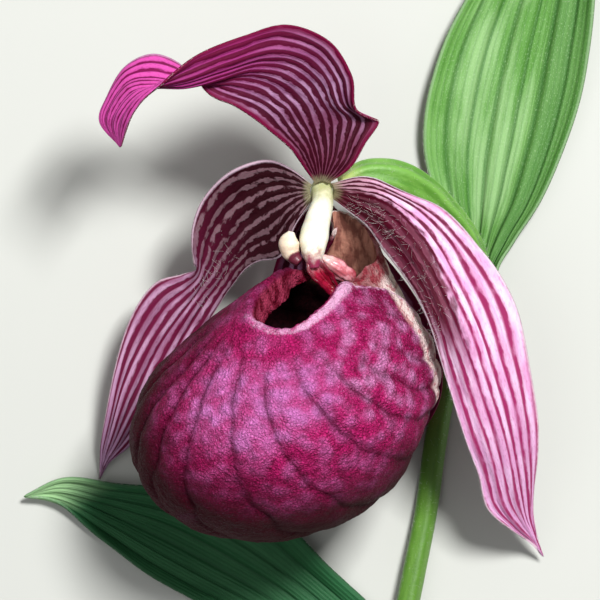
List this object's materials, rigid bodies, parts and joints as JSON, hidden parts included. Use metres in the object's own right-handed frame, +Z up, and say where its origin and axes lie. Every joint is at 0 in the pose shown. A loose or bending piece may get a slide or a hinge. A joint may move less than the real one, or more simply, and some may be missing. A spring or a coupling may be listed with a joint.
{
  "type": "cypripedium orchid",
  "caption": "Picked slipper orchid lying on its back: an inflated furrowed pouch, twisted sepal, two long petals, ribbed bract and leaf on a cut stem.",
  "frame": {"origin": "bottom centre of the bounding box, on the surface that the picked flower lies on", "axes": "+Z up, out of the flower's face; +Y from the cut end of the stem towards the dorsal sepal and the bract's tip; +X towards the bract"},
  "size_m": [0.1012, 0.1653, 0.0502],
  "materials": {
    "stalk": "soft green plant tissue with fine white down",
    "bract": "matt ribbed light green leaf",
    "leaf": "matt dark blue-green leaf with a lighter tip",
    "sepal": "satin petal tissue, lilac with dark maroon stripes",
    "petal": "satin petal tissue, pale pink with crimson stripes",
    "pouch": "velvety magenta with pale cells and dark furrows",
    "column": "waxy ivory",
    "staminode": "waxy crimson",
    "stigma": "moist pink"
  },
  "bodies": {
    "root": {"stem": "stalk", "ovary": "stalk", "bract": "bract", "leaf": "leaf", "dorsal_sepal": "sepal", "synsepal": "sepal", "petal_left": "petal", "petal_right": "petal", "lip": "pouch", "column": "column", "staminode": "staminode", "stigma": "stigma", "anther_left": "column", "anther_right": "column"}
  },
  "joints": []
}
